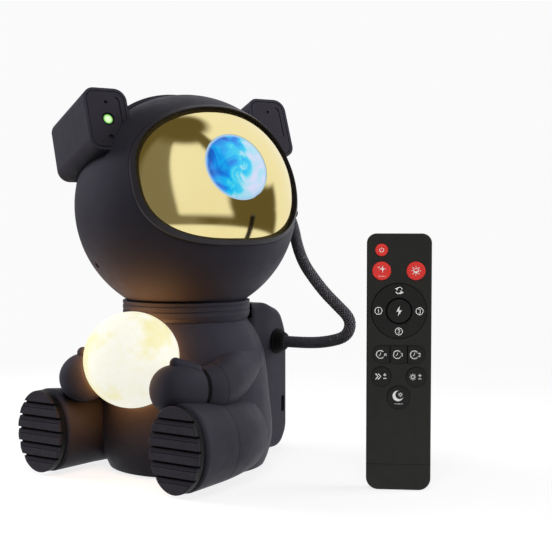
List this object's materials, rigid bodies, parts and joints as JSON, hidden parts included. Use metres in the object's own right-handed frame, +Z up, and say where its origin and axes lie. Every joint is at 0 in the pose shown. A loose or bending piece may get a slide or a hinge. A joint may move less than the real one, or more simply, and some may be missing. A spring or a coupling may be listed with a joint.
{
  "type": "star projector",
  "caption": "Seated astronaut star and nebula projector with a turning head, a glowing moon lamp in its hands, a braided hose to a backpack, and a slim hand remote.",
  "frame": {"origin": "on the table, under the middle of the astronaut's body", "axes": "+Z up; the body faces -Y; the astronaut's left side is +X; at rest the head is turned 67 degrees to the astronaut's left and tilted 20 degrees up"},
  "size_m": [0.2151, 0.1516, 0.2158],
  "materials": {
    "black_plastic": "satin soft-touch",
    "dark_rubber": "matt",
    "gold_mirror": "gold vacuum-plated, polished",
    "blue_lens": "polished, lit from behind",
    "clear_lens": "polished",
    "patterned_glass": "rippled",
    "inner_plastic": "matt",
    "heat_sink": "extruded",
    "steel": "plain",
    "laser_brass": "turned",
    "lit_moon": "translucent, lit from inside",
    "lamp_white": "matt",
    "circuit_board": "solder mask",
    "braided_sleeve": "braided",
    "remote_plastic": "fine texture",
    "button_rubber": "satin",
    "red_rubber": "satin"
  },
  "bodies": {
    "torso": {"torso_shell": "black_plastic", "base_plate": "black_plastic", "base_pad": "dark_rubber", "left_boot": "black_plastic", "right_boot": "black_plastic", "boot_soles": "dark_rubber", "left_forearm": "black_plastic", "right_forearm": "black_plastic", "left_hand": "black_plastic", "right_hand": "black_plastic", "wrist_cuffs": "black_plastic", "moon_globe": "lit_moon", "moon_lamp": "lamp_white", "backpack_shell": "black_plastic", "backpack_cover": "black_plastic", "main_circuit_board": "circuit_board", "usb_socket": "steel", "backpack_gland": "dark_rubber", "hose_lower": "braided_sleeve"},
    "neck": {"neck_collar": "black_plastic", "neck_magnet": "steel", "collar_retainer": "inner_plastic"},
    "head": {"helmet_front_shell": "black_plastic", "helmet_rear_shell": "black_plastic", "visor_rim": "black_plastic", "visor": "gold_mirror", "projection_lens": "blue_lens", "lens_barrel": "inner_plastic", "head_frame": "inner_plastic", "led_heat_sink": "heat_sink", "led_condenser": "clear_lens", "nebula_motor": "steel", "seat_plate": "steel", "left_ear_housing": "black_plastic", "right_ear_housing": "black_plastic", "ear_plates": "black_plastic", "laser_module": "laser_brass", "head_gland": "dark_rubber", "hose_upper": "braided_sleeve"},
    "disc": {"nebula_disc": "patterned_glass"},
    "remote": {"remote_front_case": "remote_plastic", "remote_rear_case": "remote_plastic", "remote_circuit_board": "circuit_board"},
    "end_cap": {"remote_end_cap": "remote_plastic", "remote_battery": "steel"},
    "ring_pad": {"ring_pad": "dark_rubber"},
    "direction_ring": {"direction_ring": "button_rubber"},
    "backpack_key_1": {"backpack_key_1": "black_plastic"},
    "backpack_key_2": {"backpack_key_2": "black_plastic"},
    "backpack_key_3": {"backpack_key_3": "black_plastic"},
    "power_button": {"power_button": "red_rubber"},
    "star_button": {"star_button": "red_rubber"},
    "nebula_button": {"nebula_button": "red_rubber"},
    "speed_button": {"speed_button": "button_rubber"},
    "brightness_button": {"brightness_button": "button_rubber"},
    "night_button": {"night_button": "button_rubber"},
    "centre_button": {"centre_button": "button_rubber"},
    "timer_button_1": {"timer_button_1": "button_rubber"},
    "timer_button_2": {"timer_button_2": "button_rubber"},
    "timer_button_3": {"timer_button_3": "button_rubber"}
  },
  "joints": [
    {"name": "head_turn", "type": "hinge", "parent": "torso", "child": "neck", "pos_m": [0, 0, 0.1505], "axis": [0, 0, 1], "range_deg": [-95, 45], "deforming": ["hose_lower"]},
    {"name": "head_tilt", "type": "hinge", "parent": "neck", "child": "head", "pos_m": [0, 0, 0.1505], "axis": [-0.3907, -0.9205, 0], "range_deg": [-30, 50], "deforming": ["hose_upper"]},
    {"name": "nebula_disc_spin", "type": "hinge", "parent": "head", "child": "disc", "pos_m": [0.02847, -0.01209, 0.14154], "axis": [0.865, -0.3672, 0.342], "continuous": true},
    {"name": "backpack_key_1_press", "type": "slide", "parent": "torso", "child": "backpack_key_1", "axis": [0, -1, 0], "range_m": [0, 0.0008], "stiffness_N_per_m": 400, "springref_m": -0.0005},
    {"name": "backpack_key_2_press", "type": "slide", "parent": "torso", "child": "backpack_key_2", "axis": [0, -1, 0], "range_m": [0, 0.0008], "stiffness_N_per_m": 400, "springref_m": -0.0005},
    {"name": "backpack_key_3_press", "type": "slide", "parent": "torso", "child": "backpack_key_3", "axis": [0, -1, 0], "range_m": [0, 0.0008], "stiffness_N_per_m": 400, "springref_m": -0.0005},
    {"name": "remote_lift", "type": "slide", "parent": "torso", "child": "remote", "axis": [0, 0, 1], "range_m": [0, 0.2]},
    {"name": "remote_end_cap_slide", "type": "slide", "parent": "remote", "child": "end_cap", "axis": [0, 0, -1], "range_m": [0, 0.03]},
    {"name": "power_button_press", "type": "slide", "parent": "remote", "child": "power_button", "axis": [-0.4617, 0.887, 0], "range_m": [0, 0.0005], "stiffness_N_per_m": 400, "springref_m": -0.0005},
    {"name": "star_button_press", "type": "slide", "parent": "remote", "child": "star_button", "axis": [-0.4617, 0.887, 0], "range_m": [0, 0.0005], "stiffness_N_per_m": 400, "springref_m": -0.0005},
    {"name": "nebula_button_press", "type": "slide", "parent": "remote", "child": "nebula_button", "axis": [-0.4617, 0.887, 0], "range_m": [0, 0.0005], "stiffness_N_per_m": 400, "springref_m": -0.0005},
    {"name": "speed_button_press", "type": "slide", "parent": "remote", "child": "speed_button", "axis": [-0.4617, 0.887, 0], "range_m": [0, 0.0005], "stiffness_N_per_m": 400, "springref_m": -0.0005},
    {"name": "brightness_button_press", "type": "slide", "parent": "remote", "child": "brightness_button", "axis": [-0.4617, 0.887, 0], "range_m": [0, 0.0005], "stiffness_N_per_m": 400, "springref_m": -0.0005},
    {"name": "night_button_press", "type": "slide", "parent": "remote", "child": "night_button", "axis": [-0.4617, 0.887, 0], "range_m": [0, 0.0005], "stiffness_N_per_m": 400, "springref_m": -0.0005},
    {"name": "centre_button_press", "type": "slide", "parent": "remote", "child": "centre_button", "axis": [-0.4617, 0.887, 0], "range_m": [0, 0.0005], "stiffness_N_per_m": 400, "springref_m": -0.0005},
    {"name": "timer_button_1_press", "type": "slide", "parent": "remote", "child": "timer_button_1", "axis": [-0.4617, 0.887, 0], "range_m": [0, 0.0005], "stiffness_N_per_m": 400, "springref_m": -0.0005},
    {"name": "timer_button_2_press", "type": "slide", "parent": "remote", "child": "timer_button_2", "axis": [-0.4617, 0.887, 0], "range_m": [0, 0.0005], "stiffness_N_per_m": 400, "springref_m": -0.0005},
    {"name": "timer_button_3_press", "type": "slide", "parent": "remote", "child": "timer_button_3", "axis": [-0.4617, 0.887, 0], "range_m": [0, 0.0005], "stiffness_N_per_m": 400, "springref_m": -0.0005},
    {"name": "ring_rock_up_down", "type": "hinge", "parent": "remote", "child": "ring_pad", "pos_m": [0.13391, 0.00997, 0.0948], "axis": [0.887, 0.4617, 0], "range_deg": [-2, 2], "stiffness_Nm_per_rad": 0.02},
    {"name": "ring_rock_sideways", "type": "hinge", "parent": "ring_pad", "child": "direction_ring", "pos_m": [0.13391, 0.00997, 0.0948], "axis": [0, 0, 1], "range_deg": [-2, 2], "stiffness_Nm_per_rad": 0.02}
  ]
}
